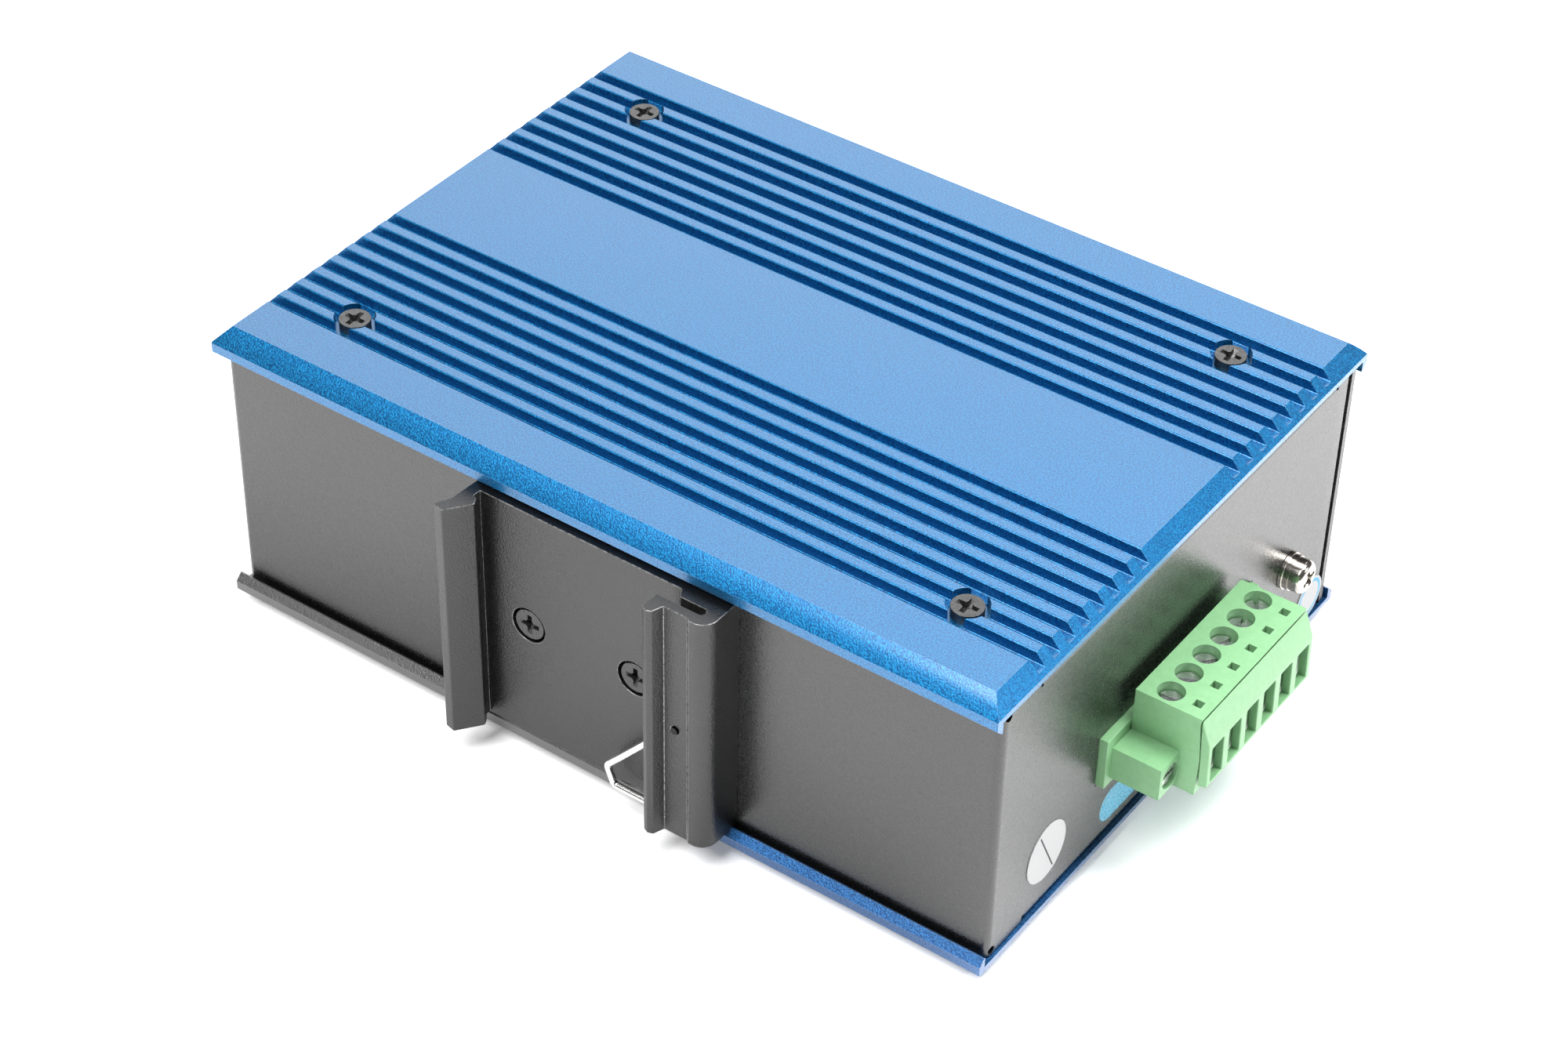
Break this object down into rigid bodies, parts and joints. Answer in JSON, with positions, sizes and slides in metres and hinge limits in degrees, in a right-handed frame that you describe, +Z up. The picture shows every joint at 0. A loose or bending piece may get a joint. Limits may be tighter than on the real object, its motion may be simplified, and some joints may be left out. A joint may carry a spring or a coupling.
{
  "type": "industrial ethernet switch",
  "caption": "Rail-mount industrial ethernet switch: black folded steel case, blue grooved aluminium covers, green plug-in power terminal, earth screw and rail clip.",
  "frame": {"origin": "centre of the bottom cover's outer face, on the surface that the switch lies on", "axes": "+X towards the end wall with the power terminal, +Y towards the network ports, -Y towards the rail clip, +Z up"},
  "size_m": [0.1581, 0.1125, 0.055],
  "materials": {
    "blue_anodised_aluminium": "bead-blasted and anodised, satin",
    "black_painted_steel": "fine matte paint",
    "black_anodised_aluminium": "fine matte anodising",
    "black_steel": "black oxide, satin",
    "plated_steel": "nickel plated, bright",
    "spring_steel": "drawn wire, bright",
    "tinned_steel": "rolled, satin",
    "brass": "machined",
    "gold_plated_contact": "plated, bright",
    "green_plastic": "moulded, fine grain",
    "black_plastic": "moulded, satin",
    "white_paper": "thin, matte",
    "board_laminate": "glass-fibre laminate with solder mask",
    "insulating_film": "thin film, matte",
    "clear_plastic": "clear, polished",
    "grey_pad": "soft, matte",
    "ferrite": "sintered, matte",
    "copper_winding": "enamelled wire",
    "ceramic_part": "fired, satin"
  },
  "bodies": {
    "root": {"top_cover": "blue_anodised_aluminium", "bottom_cover": "blue_anodised_aluminium", "case_shell": "black_painted_steel", "port_panel": "black_painted_steel", "top_cover_screws": "black_steel", "bottom_cover_screws": "black_steel", "clinch_nuts": "plated_steel", "din_clip": "black_anodised_aluminium", "din_clip_screws": "black_steel", "din_clip_nuts": "plated_steel", "din_spring": "spring_steel", "terminal_plug_body": "green_plastic", "terminal_plug_cap": "green_plastic", "terminal_clamp_screws": "plated_steel", "terminal_clamp_cages": "plated_steel", "terminal_contacts": "tinned_steel", "terminal_flange_screws": "plated_steel", "terminal_header": "green_plastic", "header_pins": "tinned_steel", "header_inserts": "brass", "earth_screw": "plated_steel", "earth_flat_washer": "plated_steel", "earth_spring_washer": "plated_steel", "earth_nut": "plated_steel", "inspection_sticker": "white_paper", "seal_sticker": "white_paper", "main_board": "board_laminate", "board_standoffs": "plated_steel", "board_screws": "plated_steel", "insulating_sheet": "insulating_film", "socket_shield": "tinned_steel", "socket_housing": "black_plastic", "socket_contacts": "gold_plated_contact", "light_pipes": "clear_plastic", "status_lights": "black_plastic", "switch_chip": "black_plastic", "thermal_pad": "grey_pad", "chip_heatsink": "black_anodised_aluminium", "network_transformers": "black_plastic", "power_controllers": "black_plastic", "memory_chip": "black_plastic", "crystal": "tinned_steel", "bulk_capacitors": "tinned_steel", "power_inductors": "ferrite", "transformer_core": "ferrite", "transformer_coil": "copper_winding", "input_fuse": "ceramic_part", "surge_arresters": "ceramic_part", "input_rectifiers": "black_plastic", "chip_parts": "ceramic_part"}
  },
  "joints": []
}
